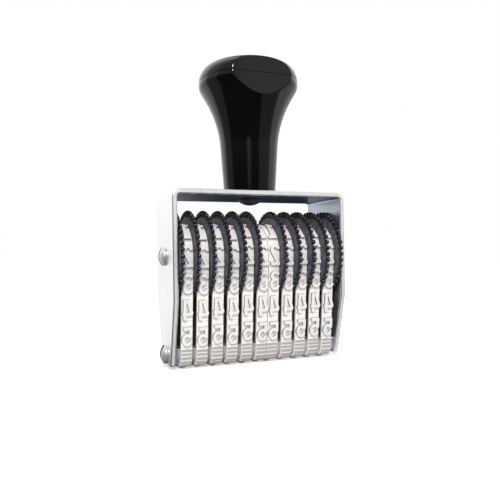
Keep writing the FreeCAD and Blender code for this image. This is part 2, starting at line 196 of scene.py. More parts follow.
world = bpy.data.worlds.new("studio")
bpy.context.scene.world = world
world.use_nodes = True
studio = world.node_tree
studio.nodes.clear()
look = node(studio, "ShaderNodeTexCoord").outputs["Generated"]
height = node(studio, "ShaderNodeSeparateXYZ", {0: look}).outputs["Z"]
shown_light = sum_of(
    studio,
    walls(studio, look, 0.02, 0.30),
    soft_step(studio, height, 0.0, sine(6), 0.07),  # a little lighter over the horizon
    soft_step(studio, height, sine(11), sine(15), 0.36),  # the ceiling
    patch(studio, look, (-0.355, -0.935, 0.10), 2, 9, 0.45),  # the window
)
lighting_light = sum_of(
    studio,
    0.34,
    patch(studio, look, (-0.15, -0.50, 0.85), 60, 12, 0.36),
    patch(studio, look, (-0.67, 0.74, 0.05), 38, 5, 0.55),
)
rooms = [white(studio, "ShaderNodeBackground", v) for v in (lighting_light, shown_light, 1.0)]
node(studio, "ShaderNodeOutputWorld", {"Surface": by_ray(studio, *rooms)})
print("nodes in the studio", len(studio.nodes))

# %% [markdown]
# A single small lamp stands above the camera. It draws a thin shadow under every stroke of
# the raised type and puts a glint on each bead. The floor is a large pale sheet. Seen by
# the camera it adds a little light of its own, so that it meets the white background without
# a line and still keeps the stamp's soft shadow. In reflections it is the table of the
# photograph, as bright as the wall behind it, and light that bounces meets the plain sheet.


# %% Lamp and floor
MIDDLE_HEIGHT = 30


def soft_lamp(name, place, size, power):
    """A square lamp that faces the middle of the stamp; place and size in millimetres."""
    data = bpy.data.lights.new(name, "AREA")
    data.size = size * MM
    data.energy = power
    lamp = bpy.data.objects.new(name, data)
    bpy.context.collection.objects.link(lamp)
    spot = Vector(place) * MM
    aim = Vector((0, 0, MIDDLE_HEIGHT)) * MM - spot
    turn = aim.to_track_quat("-Z", "Y").to_matrix().to_4x4()
    lamp.matrix_world = Matrix.Translation(spot) @ turn


soft_lamp("key", (-120, -305, 288), 60, 1.12)


def new_material(name):
    """An empty material and its tree."""
    made = bpy.data.materials.new(name)
    made.use_nodes = True
    made.node_tree.nodes.clear()
    return made, made.node_tree


pale_floor, tree = new_material("pale_studio_sheet")
place = node(tree, "ShaderNodeTexCoord").outputs["Object"]
sheet = node(tree, "ShaderNodeBsdfDiffuse", {"Color": linear("F4F4F4")}).outputs[0]
own = white(tree, "ShaderNodeEmission", 0.45)
table = white(tree, "ShaderNodeEmission", walls(tree, place, 0.02, 0.27))
lit = node(tree, "ShaderNodeAddShader", {0: sheet, 1: own}).outputs[0]
node(tree, "ShaderNodeOutputMaterial", {"Surface": by_ray(tree, sheet, table, lit)})
floor_mesh = bpy.data.meshes.new("floor")
reach = 3.0
floor_mesh.from_pydata(
    [(-reach, -reach, 0), (reach, -reach, 0), (reach, reach, 0), (-reach, reach, 0)],
    [],
    [(0, 1, 2, 3)],
)
floor_mesh.materials.append(pale_floor)
floor = bpy.data.objects.new("floor", floor_mesh)
bpy.context.collection.objects.link(floor)
print("floor reaches", reach, "m each way")

# %% [markdown]
# ## Materials
# Each is named for what the real part is made of and how it was finished. Patterns are in
# Object coordinates, so their scale is one over their real size in metres, and they don't
# slide when the camera moves. The finest real grains, of moulds, plating and turning, are
# a few hundredths of a millimetre. They are too fine to show in the render, so they are
# drawn three to ten times as coarse.


# %% Pattern helper
def pattern(tree, feature, stretch=(1, 1, 1), detail=3.0):
    """Noise whose lumps are `feature` millimetres across, drawn out by stretch."""
    place = node(tree, "ShaderNodeTexCoord").outputs["Object"]
    drawn = node(tree, "ShaderNodeMapping", {"Vector": place, "Scale": stretch})
    return node(
        tree,
        "ShaderNodeTexNoise",
        {"Vector": drawn.outputs[0], "Scale": 1 / (feature * MM), "Detail": detail},
    ).outputs["Fac"]


def between(tree, amount, low, high):
    """Spreads an amount from 0..1 to low..high."""
    return node(
        tree, "ShaderNodeMapRange", {"Value": amount, "To Min": low, "To Max": high}
    ).outputs["Result"]


def blend(tree, amount, first, second):
    """A colour that goes from first to second with the amount."""
    return node(
        tree, "ShaderNodeMix", {0: amount, 6: first, 7: second}, data_type="RGBA"
    ).outputs[2]


def relief(tree, height, depth, strength=1.0):
    """Bump from a pattern; depth is in millimetres."""
    return node(
        tree,
        "ShaderNodeBump",
        {"Height": height, "Distance": depth * MM, "Strength": strength},
    ).outputs["Normal"]


def attribute(tree, name):
    """An amount that the mesh carries under this name."""
    return node(tree, "ShaderNodeAttribute", attribute_name=name).outputs["Fac"]


def surface(tree, values):
    """The Principled shader and the output."""
    shader = node(tree, "ShaderNodeBsdfPrincipled", values)
    node(tree, "ShaderNodeOutputMaterial", {"Surface": shader.outputs[0]})


print("helpers ready")

# %% [markdown]
# Moulded rubber: warm off-white, half matt. The mould leaves a very fine grain and handling
# leaves faint darker clouds. The flanks of the raised type are darkened as painted shade,
# which draws the thin dark lines along the strokes. The strip between the characters is
# painted a little lighter than the type's faces, as painted fill light for the shade that
# falls between them. How high a place is comes as an attribute of the band's mesh: 0 on the
# strip, 1 on the type's faces and between them on its flanks, so height times what is left
# to the top is large only on the flanks.

# %% Moulded rubber
moulded_rubber, tree = new_material("moulded_off_white_rubber")
height = between(tree, attribute(tree, "raised"), 0.0, 1.0)
flanks = number(tree, "MULTIPLY", height, number(tree, "SUBTRACT", 1.0, height))
clouds = between(tree, pattern(tree, 2.5), 0.0, 0.12)
# painted shade on the type's flanks, added to the handling clouds
clouds_and_flank_shade = number(tree, "MULTIPLY_ADD", flanks, 3.4, clouds)
# painted fill light: the strip is lighter than the type's faces
plain_and_fill_lit = blend(tree, height, linear("F7F4F1"), linear("E9E5E2"))
surface(
    tree,
    {
        "Base Color": blend(tree, clouds_and_flank_shade, plain_and_fill_lit, linear("847E79")),
        "Roughness": between(tree, pattern(tree, 0.6), 0.42, 0.60),
        "IOR": 1.5,
        "Normal": relief(tree, pattern(tree, 0.12), 0.012, 0.5),
    },
)

# %% [markdown]
# Moulded plastic for the thumb wheels: nearly black with a bluish cast. The discs' faces keep
# the mould's matt grain and a film of grey dust, while thumbs have polished the beads. Which
# is which comes as an attribute of the wheel's mesh.

# %% Moulded wheel plastic
wheel_plastic, tree = new_material("moulded_black_plastic")
thumbed = attribute(tree, "thumbed")
matt = between(tree, pattern(tree, 0.8), 0.45, 0.62)
polish = number(tree, "MULTIPLY", thumbed, -0.30)
dust = between(tree, pattern(tree, 1.3), -0.6, 1.6)
faces = blend(tree, dust, linear("393841"), linear("686772"))
surface(
    tree,
    {
        "Base Color": blend(tree, thumbed, faces, linear("25232D")),
        "Roughness": number(tree, "ADD", matt, polish),
        "IOR": 1.5,
        "Normal": relief(tree, pattern(tree, 0.2), 0.012, 0.5),
    },
)

# %% [markdown]
# Bright chromed sheet: a mirror that isn't quite flat, because rolled strip is slightly wavy
# under its plating, with a faint grain along the strip. Its sheared edges are frosted: the
# plating lies on torn steel there, in patches, with fine lines across the sheet. The inner
# side of the bend gets a darker, bluish copy of the chrome as painted shade, and the
# underside of the top a still darker, blue one, also painted shade. Where frost, oxide or a
# haze of handling lies over the metal, Metallic is below 1.

# %% Chromed sheet, its sheared edges and its inner side
chromed_sheet, tree = new_material("bright_chromed_sheet")
grain = pattern(tree, 0.4, (0.15, 1, 0.15))
surface(
    tree,
    {
        "Base Color": blend(tree, pattern(tree, 6.0), linear("EEF0F2"), linear("F8F9FA")),
        "Metallic": 0.88,
        "Roughness": between(tree, grain, 0.19, 0.31),
        "Normal": relief(tree, pattern(tree, 9.0, detail=1.0), 0.06, 0.5),
    },
)
sheared_edge, tree = new_material("chromed_sheared_edge")
lines = pattern(tree, 0.25, (1, 0.2, 1))
surface(
    tree,
    {
        "Base Color": blend(tree, pattern(tree, 1.2), linear("C6CCCA"), linear("E8EBEA")),
        "Metallic": between(tree, pattern(tree, 0.5), 0.15, 0.45),
        "Roughness": between(tree, lines, 0.30, 0.48),
        "Normal": relief(tree, lines, 0.015, 0.5),
    },
)
# painted shade: a darker, bluish copy of the chrome for the inner side
inner_chrome_shade, tree = new_material("chrome_painted_shade_inner_side")
surface(
    tree,
    {
        "Base Color": blend(tree, pattern(tree, 5.0), linear("A3ACB8"), linear("BCC4CD")),
        "Metallic": 0.9,
        "Roughness": between(tree, pattern(tree, 0.4, (1, 0.15, 1)), 0.22, 0.36),
    },
)
# painted shade: a dark blue copy of the chrome for the underside of the top
underside_chrome_shade, tree = new_material("chrome_painted_shade_underside")
surface(
    tree,
    {
        "Base Color": blend(tree, pattern(tree, 4.0), linear("4A5268"), linear("616B80")),
        "Metallic": 0.4,
        "Roughness": between(tree, pattern(tree, 0.4, (0.15, 1, 1)), 0.26, 0.40),
    },
)

# %% [markdown]
# Drawn bright steel for the axle and the platen bar, with grain along X; rolled steel, blued
# and dull, for the handle's screw, and the same dark steel as painted shade on the comb behind
# the bands; turned and plated steel for the other screws, their slots coloured dark as painted
# shade; brass for the nut in the handle; and a polished black thermoset for the handle. Its
# gloss is what the eye sees, since its own colour is almost nothing. An IOR a little under
# the usual 1.5 gives the photograph's dim reflections.

# %% Bar, screw, brass and handle materials
drawn_bar, tree = new_material("drawn_bright_steel")
lines = pattern(tree, 0.15, (0.05, 1, 1))
surface(
    tree,
    {
        "Base Color": blend(tree, pattern(tree, 1.5), linear("CDD1D6"), linear("E2E5E8")),
        "Metallic": between(tree, pattern(tree, 0.9), 0.55, 0.85),
        "Roughness": between(tree, lines, 0.22, 0.38),
        "Normal": relief(tree, lines, 0.008, 0.5),
    },
)
# the same dark steel is painted shade on the comb between the bands
blued_steel_and_comb_shade, tree = new_material("blued_steel_and_painted_comb_shade")
scale = pattern(tree, 0.8, (1, 1, 0.3))
surface(
    tree,
    {
        "Base Color": blend(tree, scale, linear("35383B"), linear("55595C")),
        "Metallic": 0.5,
        "Roughness": between(tree, scale, 0.38, 0.60),
    },
)
screw_steel, tree = new_material("turned_plated_screw_steel")
rings = pattern(tree, 0.2)
plated = blend(tree, rings, linear("D2D5D8"), linear("ECEDEE"))
surface(
    tree,
    {
        # painted shade: the slot's faces are coloured dark grey
        "Base Color": blend(tree, attribute(tree, "in_slot"), plated, linear("30383A")),
        "Metallic": between(tree, pattern(tree, 0.9), 0.6, 0.85),
        "Roughness": between(tree, rings, 0.26, 0.42),
        "Normal": relief(tree, rings, 0.008, 0.4),
    },
)
insert_brass, tree = new_material("machined_brass")
surface(
    tree,
    {
        "Base Color": blend(tree, pattern(tree, 0.5), linear("B08D4A"), linear("CDAA62")),
        "Metallic": 1.0,
        "Roughness": between(tree, pattern(tree, 0.2), 0.22, 0.36),
    },
)
black_handle, tree = new_material("polished_black_thermoset")
surface(
    tree,
    {
        "Base Color": blend(tree, pattern(tree, 4.0), linear("060606"), linear("0A0A0B")),
        "Roughness": between(tree, pattern(tree, 1.5), 0.035, 0.075),
        "IOR": 1.45,
        "Normal": relief(tree, pattern(tree, 7.0, detail=1.0), 0.02, 0.5),
    },
)
print("materials", [m.name for m in bpy.data.materials if m.use_nodes])

# %% [markdown]
# ## Shapes that are turned
# The handle, its cap, a screw's head and a wheel's disc are all made on a lathe or in a
# round mould: one outline swept round an axis. The outline is a list of corners, each with
# the radius of its rounding, so that every edge catches a thin line of light. The other
# helpers serve all the meshes that are made corner by corner.


# %% Turning helpers
def rounded(corners, steps=4):
    """Replaces each corner (across, up, radius) by points on an arc of that radius."""
    points = []
    for index, (across, up, radius) in enumerate(corners):
        here = Vector((across, up))
        if not radius or index in (0, len(corners) - 1):
            points.append(here)
            continue
        before = (Vector(corners[index - 1][:2]) - here).normalized()
        after = (Vector(corners[index + 1][:2]) - here).normalized()
        half = before.angle(after) / 2
        middle = here + (before + after).normalized() * (radius / math.sin(half))
        start = here + before * (radius / math.tan(half)) - middle
        end = here + after * (radius / math.tan(half)) - middle
        for step in range(steps + 1):
            points.append(middle + start.lerp(end, step / steps).normalized() * radius)
    return points


def bow(across, up, wide, high, start, end, steps=14):
    """Points on an oval round a middle; angles in degrees."""
    turns = (math.radians(start + (end - start) * step / steps) for step in range(steps + 1))
    return [(across + wide * math.cos(t), up + high * math.sin(t)) for t in turns]


def arc(center, radius, start, end, steps):
    """Points on an arc; angles in degrees."""
    return [Vector(spot) for spot in bow(*center, radius, radius, start, end, steps)]


def skin(work, first, second, closed=True):
    """Faces between two rings, or rows, of corners; a ring may be a single corner."""
    count = max(len(first), len(second))
    faces = []
    for index in range(count if closed else count - 1):
        after = (index + 1) % count
        low = (first[index % len(first)], first[after % len(first)])
        high = (second[after % len(second)], second[index % len(second)])
        faces.append(work.faces.new(list(dict.fromkeys(low + high))))
    return faces


def smoothed(work):
    """Turns the faces outward and shades them smooth."""
    bmesh.ops.recalc_face_normals(work, faces=work.faces)
    for face in work.faces:
        face.smooth = True
    return work


def turned(points, segments, closed=False):
    """Sweeps an outline (radius, height) in millimetres round Z; closed joins its ends."""
    work = bmesh.new()
    rings = []
    for radius, height in points:
        if radius < 1e-6:
            rings.append([work.verts.new((0, 0, height * MM))])
            continue
        turns = (2 * math.pi * count / segments for count in range(segments))
        circle = (Vector((math.cos(t) * radius, math.sin(t) * radius, height)) for t in turns)
        rings.append([work.verts.new(spot * MM) for spot in circle])
    for low, high in zip(rings, rings[1:] + (rings[:1] if closed else [])):
        skin(work, low, high)
    return smoothed(work)


def cut(work, place, outward, near, drop=True):
    """Cuts the work with a plane and drops what lies outward of it."""
    bmesh.ops.bisect_plane(
        work,
        geom=work.verts[:] + work.edges[:] + work.faces[:],
        dist=near,
        plane_co=place,
        plane_no=outward,
        clear_outer=drop,
    )


def add_to(work, part):
    """Adds one bmesh to another."""
    mesh = bpy.data.meshes.new("part")
    part.to_mesh(mesh)
    part.free()
    work.from_mesh(mesh)
    bpy.data.meshes.remove(mesh)


def finish_mesh(name, work, material=None):
    """Turns the work into an object at the origin."""
    mesh = bpy.data.meshes.new(name)
    work.to_mesh(mesh)
    work.free()
    if material:
        mesh.materials.append(material)
    made = bpy.data.objects.new(name, mesh)
    bpy.context.collection.objects.link(made)
    return made


def crisp(piece):
    """Keeps flat faces flat beside small roundings."""
    modifier = piece.modifiers.new("flat_faces", "WEIGHTED_NORMAL")
    modifier.keep_sharp = True
    modifier.weight = 90


# %% [markdown]
# ## Handle
# Two mouldings meet at a seam just above the knob's widest place: the handle with its neck,
# and a domed cap. The outline runs up the neck, out to the knob's underside and over the
# dome. Both mouldings are turned as one body first, because the next step cuts both.

# %% Handle blank
FRAME_TOP = 43.8
KNOB, EDGE, DOME = 13.0, 4.5, 30.0
NECK_FOOT, FOOT_ROUNDING, SEAM_RISE = 6.7, 0.3, 0.75
KNOB_SEGMENTS = 160
neck, flare, skirt = Vector((7.5, 12.0)), Vector((11.42, 24.9)), Vector((12.62, 26.95))
chord = flare - neck
bulge = 28.7
center = (neck + flare) / 2 + Vector((chord.y, -chord.x)).normalized() * math.sqrt(
    bulge**2 - (chord.length / 2) ** 2
)
start = math.degrees(math.atan2(neck.y - center.y, neck.x - center.x)) % 360
end = math.degrees(math.atan2(flare.y - center.y, flare.x - center.x)) % 360
lean = math.degrees(math.atan2(skirt.x - flare.x, skirt.y - flare.y))
rim = (KNOB - skirt.x) / (1 - math.cos(math.radians(lean)))
rim_center = (KNOB - rim, skirt.y + rim * math.sin(math.radians(lean)))
SEAM = rim_center[1] + SEAM_RISE
outline = rounded([(0, 0, 0), (NECK_FOOT, 0, FOOT_ROUNDING), (*neck, 0)])[:-1]
outline += arc(center, bulge, start, end, 20)
outline += arc(rim_center, rim, -lean, 0, 10)
rise = math.sqrt((DOME - EDGE) ** 2 - (KNOB - EDGE) ** 2)
lean = math.degrees(math.atan2(rise, KNOB - EDGE))
outline += arc((KNOB - EDGE, SEAM), EDGE, 0, lean, 18)
outline += arc((0, SEAM - rise), DOME, lean, 90, 14)[1:-1]
outline.append(Vector((0, SEAM - rise + DOME)))
knob = turned(outline, KNOB_SEGMENTS)
print("seam at", round(SEAM, 2), "apex at", round(SEAM - rise + DOME, 2))

# %% [markdown]
# The knob's front is ground flat, which tells the thumb which way the type reads. The flat
# catches the ceiling and is the one grey field on the black knob. Its edge is polished over:
# so the knob is cut a little below the flat, and strips of a curve lead from the cut out to
# the flat, level with the knob at one end and with the flat at the other.


# %% Flat on the knob's front
def rim_loop(work, near=0.0):
    """The open edge's corners in order, those nearer than this to the last one left out."""
    edges = [edge for edge in work.edges if edge.is_boundary]
    here = edges[-1].verts[0]
    loop = [here]
    while edges:
        edge = next(item for item in here.link_edges if item in edges)
        edges.remove(edge)
        here = edge.other_vert(here)
        loop.append(here)
    loop.pop()
    merged = {}
    for before, corner in zip(loop, loop[1:]):
        if (corner.co - merged.get(before, before).co).length < near:
            merged[corner] = merged.get(before, before)
    bmesh.ops.weld_verts(work, targetmap=merged)
    return [corner for corner in loop if corner.is_valid and corner not in merged]


def close_rings(work, rings):
    """Faces between rings of corners, and one face in the last ring."""
    for inner, outer in zip(rings, rings[1:]):
        skin(work, inner, outer)
    work.faces.new(rings[-1])
    smoothed(work)


FLAT_AT, FLAT_LEAN, FLAT_EDGE = KNOB - 2.62, 0.66 / KNOB, 0.16
faces_out = Vector((0, -1, FLAT_LEAN)).normalized()
on_flat = Vector((0, -FLAT_AT, SEAM)) * MM
cut(knob, on_flat - faces_out * FLAT_EDGE * MM, faces_out, 0)
knob.normal_update()
loop = rim_loop(knob, 0.12 * MM)
knob.normal_update()
quarters = (0.25, 0.5, 0.75, 1.0)
curves = []
for count, corner in enumerate(loop):
    run = loop[(count + 1) % len(loop)].co - loop[count - 1].co
    leading = run.cross(corner.normal).normalized()
    if leading.dot(faces_out) < 0:
        leading.negate()
    bend = corner.co + leading * (on_flat - corner.co).dot(faces_out) / leading.dot(faces_out)
    inward = leading - faces_out * leading.dot(faces_out)
    last = bend + inward.normalized() * (bend - corner.co).length
    curves.append([corner.co.lerp(bend, t).lerp(bend.lerp(last, t), t) for t in quarters])
close_rings(knob, [loop] + [[knob.verts.new(spot) for spot in ring] for ring in zip(*curves)])
for name, axis in (("wide", 0), ("high", 2)):
    reaches = [spots[-1][axis] for spots in curves]
    print("flat in mm", name, round((max(reaches) - min(reaches)) / MM, 1))

# %% [markdown]
# Then the body is parted at the seam. Each half gets a tiny rounding there, and the two
# roundings together make the fine dark line that runs round the real knob.

# %% Handle and cap
SEAM_ROUNDING = 0.11
whole = bpy.data.meshes.new("whole_handle")
knob.to_mesh(whole)
knob.free()
halves = (("turned_handle", "handle", 1), ("domed_handle_cap", "handle_cap", -1))
for name, replaced, side in halves:
    work = bmesh.new()
    work.from_mesh(whole)
    cut(work, Vector((0, 0, SEAM - side * SEAM_ROUNDING)) * MM, (0, 0, side), 1e-7)
    work.normal_update()
    loop = rim_loop(work)
    rings = [loop]
    for angle in (30, 60, 90):
        inset = SEAM_ROUNDING * (1 - math.cos(math.radians(angle)))
        climb = Vector((0, 0, side * SEAM_ROUNDING * sine(angle))) * MM
        inward = [Vector((*corner.normal.xy, 0)).normalized() * -inset * MM for corner in loop]
        rings.append([work.verts.new(c.co + climb + step) for c, step in zip(loop, inward)])
    close_rings(work, rings)
    bmesh.ops.translate(work, verts=work.verts, vec=(0, 0, FRAME_TOP * MM))
    piece = finish_mesh(name, work, black_handle)
    crisp(piece)
    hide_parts(replaced)
    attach(piece, "stamp")
    print(name, "faces", len(piece.data.polygons))
bpy.data.meshes.remove(whole)

# %% [markdown]
# ## Frame
# One strip of steel, bent twice. It is made as the press makes it: the strip's cross section
# is walked along its bent line, narrower towards each foot, and a bevel then breaks all the
# sheared edges. The faces that were sheared get the duller material.

# %% Bent steel frame
WALL, DEPTH, FOOT, HEEL, TAPER = 1.3, 18.6, 1.0, 9.6, 17.2
HALF_WIDTH = 22.975
BEND = 0.7
stations = []
for height in (FOOT, TAPER, FRAME_TOP - WALL - BEND):
    half_depth = HEEL / 2 if height == FOOT else DEPTH / 2
    stations.append(((HALF_WIDTH, height), (HALF_WIDTH - WALL, height), half_depth))
corner = Vector((HALF_WIDTH - WALL - BEND, FRAME_TOP - WALL - BEND))
for outer, inner in zip(arc(corner, WALL + BEND, 0, 90, 10)[1:], arc(corner, BEND, 0, 90, 10)[1:]):
    stations.append((tuple(outer), tuple(inner), DEPTH / 2))
stations += [((-o[0], o[1]), (-i[0], i[1]), d) for o, i, d in reversed(stations)]
work = bmesh.new()
rings = []
for outer, inner, half_depth in stations:
    ring = [(outer, -half_depth), (outer, half_depth), (inner, half_depth), (inner, -half_depth)]
    rings.append([work.verts.new(Vector((x, y, z)) * MM) for (x, z), y in ring])
# The inner side and the underside of the top take darker copies of the chrome, painted shade.
OUTER, SHEARED, UNDER_TOP, INNER = range(4)
for first, second in zip(rings, rings[1:]):
    sides = skin(work, first, second)
    for face, index in zip(sides, (OUTER, SHEARED, INNER, SHEARED)):
        face.material_index = index
    if sides[2].calc_center_median().z > (FRAME_TOP - WALL - 0.1) * MM:
        sides[2].material_index = UNDER_TOP
for end in (rings[0], rings[-1]):
    work.faces.new(end).material_index = SHEARED
bent_frame = finish_mesh("bent_steel_frame", smoothed(work), chromed_sheet)
for material in (sheared_edge, underside_chrome_shade, inner_chrome_shade):
    bent_frame.data.materials.append(material)
modifier = bent_frame.modifiers.new("broken_edges", "BEVEL")
modifier.width = 0.30 * MM
modifier.segments = 3
modifier.limit_method = "ANGLE"
modifier.angle_limit = math.radians(40)
modifier.material = OUTER
crisp(bent_frame)
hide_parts("frame")
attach(bent_frame, "stamp")
print("stations along the strip", len(stations))

# %% [markdown]
# ## Geometry Nodes helpers
# What repeats is made by node trees: a tree has named sizes, and the same tree serves every
# wheel, band or screw. A modifier's input is set by its identifier before the first
# evaluation. The result is then kept as a plain mesh, so that the finished piece carries no
# modifier and sits at the origin.


# %% Tree helpers
def new_tree(name, sizes):
    """A geometry tree with named inputs; returns it and the values given to it."""
    tree = bpy.data.node_groups.new(name, "GeometryNodeTree")
    tree.is_modifier = True
    tree.interface.new_socket("Geometry", in_out="INPUT", socket_type="NodeSocketGeometry")
    tree.interface.new_socket("Geometry", in_out="OUTPUT", socket_type="NodeSocketGeometry")
    for label, kind in sizes.items():
        tree.interface.new_socket(label, in_out="INPUT", socket_type="NodeSocket" + kind)
    return tree, node(tree, "NodeGroupInput").outputs


def close_tree(tree, geometry, material):
    """Realize Instances, Set Material and the tree's output."""
    real = node(tree, "GeometryNodeRealizeInstances", {"Geometry": geometry})
    painted = node(
        tree, "GeometryNodeSetMaterial", {"Geometry": real.outputs[0], "Material": material}
    )
    node(tree, "NodeGroupOutput", {"Geometry": painted.outputs[0]})


def grow(name, work, tree, sizes):
    """Runs a tree on a mesh with these sizes and keeps the result as a plain mesh."""
    piece = finish_mesh(name, work)
    modifier = piece.modifiers.new("grow", "NODES")
    modifier.node_group = tree
    for item in tree.interface.items_tree:
        if item.in_out == "INPUT" and item.name in sizes:
            modifier[item.identifier] = sizes[item.name]
    view = bpy.context.evaluated_depsgraph_get()
    mesh = bpy.data.meshes.new_from_object(piece.evaluated_get(view))
    piece.modifiers.clear()
    piece.data = mesh
    mesh.name = name
    return piece


def note(tree, geometry, name, value, domain="POINT"):
    """Stores an amount under a name on the points or faces."""
    return node(
        tree,
        "GeometryNodeStoreNamedAttribute",
        {"Geometry": geometry, "Name": name, "Value": value},
        data_type="FLOAT",
        domain=domain,
    ).outputs[0]


def join(tree, *parts):
    """Joins several geometries."""
    joined = tree.nodes.new("GeometryNodeJoinGeometry")
    for part in parts:
        tree.links.new(part, joined.inputs[0])
    return joined.outputs[0]


# %% [markdown]
# ## Thumb wheels
# A wheel is one moulding: a thin disc with a chain of round beads for the thumb, and beside
# it a drum whose flats drive the band. Six wheels have their disc on the left and five on
# the right. The disc and drum are turned; the beads follow a rule (so many, evenly round a
# circle), so a tree sets them. A bead is repeated 484 times, so it has only a few dozen
# faces and is shaded smooth.

# %% Bead tree
beads, given = new_tree(
    "beads_round_a_disc",
    {
        "Bead count": "Int",
        "Bead circle": "Float",
        "Bead size": "Vector",
        "Across": "Float",
        "Axle height": "Float",
    },
)
index = node(beads, "GeometryNodeInputIndex").outputs[0]
share = number(beads, "DIVIDE", index, given["Bead count"])
turn = node(
    beads,
    "FunctionNodeAxisAngleToRotation",
    {"Axis": (1, 0, 0), "Angle": number(beads, "MULTIPLY", share, 2 * math.pi)},
).outputs[0]
up = node(beads, "ShaderNodeCombineXYZ", {"Z": given["Bead circle"]}).outputs[0]
round_axle = node(beads, "FunctionNodeRotateVector", {"Vector": up, "Rotation": turn}).outputs[0]
middle = node(
    beads, "ShaderNodeCombineXYZ", {"X": given["Across"], "Z": given["Axle height"]}
).outputs[0]
spots = node(
    beads,
    "GeometryNodePoints",
    {"Count": given["Bead count"], "Position": vector(beads, "ADD", round_axle, middle)},
).outputs[0]
bead = node(beads, "GeometryNodeMeshUVSphere", {"Segments": 10, "Rings": 6, "Radius": 1.0})
chain = node(
    beads,
    "GeometryNodeInstanceOnPoints",
    {"Points": spots, "Instance": bead.outputs[0], "Rotation": turn, "Scale": given["Bead size"]},
).outputs[0]
smooth = node(
    beads,
    "GeometryNodeSetShadeSmooth",
    {"Geometry": node(beads, "GeometryNodeRealizeInstances", {"Geometry": chain}).outputs[0]},
).outputs[0]
polished = note(beads, smooth, "thumbed", 1.0)
close_tree(beads, join(beads, given["Geometry"], polished), wheel_plastic)

# %% Eleven wheels
WHEELS, DISCS_ON_LEFT = 11, 6
PITCH, DISC, DRUM = 3.9, 0.85, 3.0
AXLE = 27.7
BORE, ROOT, ROUNDING = 2.05, 9.95, 0.22
DRUM_CORNER, DRUM_FLATS, DISC_SEGMENTS = 6.85, 12, 132
BEAD_COUNT, BEAD_CIRCLE, BEAD_SIZE = 44, 10.72, (0.62, 0.68, 0.88)
FIRST = -21.425


def wheel_blank(disc_first):
    """Disc and drum of one wheel, its left face on X = 0 and its axis on X."""
    disc_left, drum_left = (0, DISC) if disc_first else (DRUM, 0)
    disc_outline = rounded(
        [
            (BORE, disc_left, 0),
            (ROOT, disc_left, ROUNDING),
            (ROOT, disc_left + DISC, ROUNDING),
            (BORE, disc_left + DISC, 0),
        ]
    )
    work = turned(disc_outline, DISC_SEGMENTS, closed=True)
    radii = (BORE, DRUM_CORNER, DRUM_CORNER, BORE)
    levels = (drum_left, drum_left, drum_left + DRUM, drum_left + DRUM)
    drum = turned(zip(radii, levels), DRUM_FLATS, closed=True)
    for face in drum.faces:
        face.smooth = False
    add_to(work, drum)
    bmesh.ops.rotate(work, verts=work.verts, matrix=Matrix.Rotation(math.pi / 2, 3, "Y"))
    return work


for count in range(1, WHEELS + 1):
    disc_first = count <= DISCS_ON_LEFT
    left = FIRST + (count - 1) * PITCH
    work = wheel_blank(disc_first)
    bmesh.ops.translate(work, verts=work.verts, vec=Vector((left, 0, AXLE)) * MM)
    name = f"wheel_{count:02d}"
    wheel = grow(
        f"thumb_{name}",
        work,
        beads,
        {
            "Bead count": BEAD_COUNT,
            "Bead circle": BEAD_CIRCLE * MM,
            "Bead size": [radius * MM for radius in BEAD_SIZE],
            "Across": (left + (DISC / 2 if disc_first else DRUM + DISC / 2)) * MM,
            "Axle height": AXLE * MM,
        },
    )
    crisp(wheel)
    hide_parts(name)
    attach(wheel, name)
print("faces in one wheel", len(wheel.data.polygons))

# %% [markdown]
# ## Numeral bands
# A band is moulded flat in one's mind: a strip of rubber with raised characters and, above
# the printing one, a blank with low ribs. On the stamp it runs up the front, over the
# drum, down the back and under the platen bar. So it is made flat first, with X across the
# band, Y along it and Z up from the rubber's middle, and a tree then bends it round its way.
# The characters are mirror writing, as on any stamp.
#
# The way is two quarter arcs under the platen's rounded edges, two straight runs and one
# arc over the drum, the same as in the solids.

# %% The band's way
PLATEN = 3.45
LOWER = Vector((-2.7, PLATEN))
SMALL, LARGE, MIDDLE = 1.85, 7.0, 0.45
WAY_STEPS = 848
way = Vector((0, AXLE)) - LOWER
slope = math.asin((LARGE - SMALL) / way.length) - math.atan2(way.x, way.y)
FLAT = -LOWER.x
bend_length = (SMALL + MIDDLE) * (math.pi / 2 - slope)
run_length = math.sqrt(way.length**2 - (LARGE - SMALL) ** 2)
crown_length = (LARGE + MIDDLE) * (math.pi / 2 + slope)
HALF_BAND = FLAT + bend_length + run_length + crown_length
LOOP = 2 * HALF_BAND


def toward(angle):
    """The direction of an angle."""
    return Vector((math.cos(angle), math.sin(angle)))


def on_way(along):
    """The place (Y, Z) of the rubber's middle at this length from the platen's middle."""
    along = (along + HALF_BAND) % LOOP - HALF_BAND
    side, left = (-1 if along < 0 else 1), abs(along)
    if left <= FLAT:
        spot = Vector((-left, LOWER.y - SMALL - MIDDLE))
    elif left <= FLAT + bend_length:
        angle = -math.pi / 2 - (left - FLAT) / (SMALL + MIDDLE)
        spot = LOWER + toward(angle) * (SMALL + MIDDLE)
    elif left <= FLAT + bend_length + run_length:
        share = (left - FLAT - bend_length) / run_length
        radius = SMALL + (LARGE - SMALL) * share
        spot = LOWER + way * share + toward(-math.pi + slope) * (radius + MIDDLE)
    else:
        beyond = left - FLAT - bend_length - run_length
        angle = -math.pi + slope - beyond / (LARGE + MIDDLE)
        spot = Vector((0, AXLE)) + toward(angle) * (LARGE + MIDDLE)
    return Vector((0, side * spot.x, spot.y))


way_data = bpy.data.curves.new("band_way", "CURVE")
way_data.dimensions = "3D"
spline = way_data.splines.new("POLY")
spline.points.add(WAY_STEPS - 1)
for step, point in enumerate(spline.points):
    point.co = (*(on_way(LOOP * step / WAY_STEPS) * MM), 1)
spline.use_cyclic_u = True
band_way = bpy.data.objects.new("band_way", way_data)
print("band loop in mm", round(LOOP, 2))

